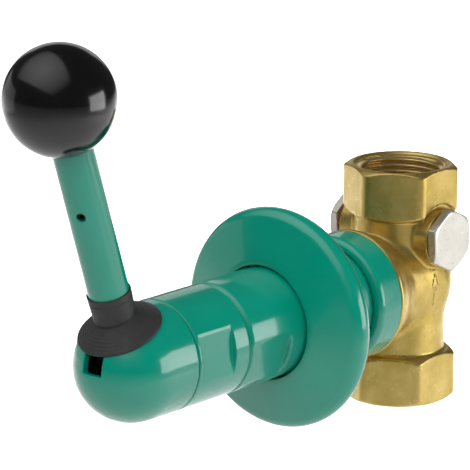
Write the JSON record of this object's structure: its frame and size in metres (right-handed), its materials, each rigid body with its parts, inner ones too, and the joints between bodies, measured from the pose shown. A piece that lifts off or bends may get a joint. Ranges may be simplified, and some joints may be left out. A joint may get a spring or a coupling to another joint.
{
  "type": "plug valve",
  "caption": "Lever-operated wall valve: threaded brass pipe body with side plugs, green sleeve, rosette and dome, and a black ball lever that drives the spindle.",
  "frame": {"origin": "centre of the inlet mouth, at the lower end of the pipe body", "axes": "+Z along the pipe in the direction of flow, -Y out of the wall towards the user, +X to the user's right when facing the valve"},
  "size_m": [0.084, 0.234, 0.1684],
  "materials": {
    "brass": "satin",
    "nickel": "satin nickel plate",
    "green_paint": "gloss powder coat",
    "steel": "turned",
    "fibre": "matte fibre",
    "black_rubber": "matte",
    "white_ptfe": "matte",
    "natural_nylon": "matte",
    "black_phenolic": "polished"
  },
  "bodies": {
    "valve": {"valve_body": "brass", "seat_ring": "brass", "side_plug_right": "nickel", "side_plug_left": "nickel", "plug_washer_right": "fibre", "plug_washer_left": "fibre", "bonnet": "brass", "bonnet_gasket": "fibre", "stem_o_rings": "black_rubber", "gland_packing": "white_ptfe", "gland_nut": "brass", "wall_collar": "green_paint", "extension_sleeve": "green_paint", "guide_bush": "natural_nylon", "lock_ring": "green_paint", "dome_housing": "green_paint", "pivot_cradle": "steel", "pivot_pin": "steel", "pivot_circlips": "steel", "return_spring": "steel"},
    "spindle_set": {"spindle": "steel", "disc_holder": "brass", "disc_gasket": "black_rubber", "disc_washer": "brass", "disc_nut": "brass", "spring_retainer": "steel", "retainer_clip": "steel", "clevis": "steel", "clevis_lock_nut": "steel"},
    "lever": {"lever_rocker": "nickel", "drive_pin": "steel", "lever_tube": "green_paint", "roll_pin": "steel", "knob_insert": "steel", "ball_knob": "black_phenolic", "rubber_boot": "black_rubber"},
    "rosette_set": {"rosette": "green_paint", "rosette_o_ring": "black_rubber", "wall_seal": "black_rubber"}
  },
  "joints": [
    {"name": "lever_swing", "type": "hinge", "parent": "valve", "child": "lever", "pos_m": [0, -0.15725, 0.0465], "axis": [1, 0, 0], "range_deg": [0, 55]},
    {"name": "spindle_slide", "type": "slide", "parent": "valve", "child": "spindle_set", "axis": [0, 1, 0], "range_m": [0, 0.0074], "stiffness_N_per_m": 3000, "springref_m": -0.012, "deforming": ["return_spring"]},
    {"name": "rosette_slide", "type": "slide", "parent": "valve", "child": "rosette_set", "axis": [0, 1, 0], "range_m": [-0.028, 0.024]}
  ],
  "couplings": [
    {"joint": "spindle_slide", "follows": "lever_swing", "m_per_rad": 0.0076964}
  ]
}
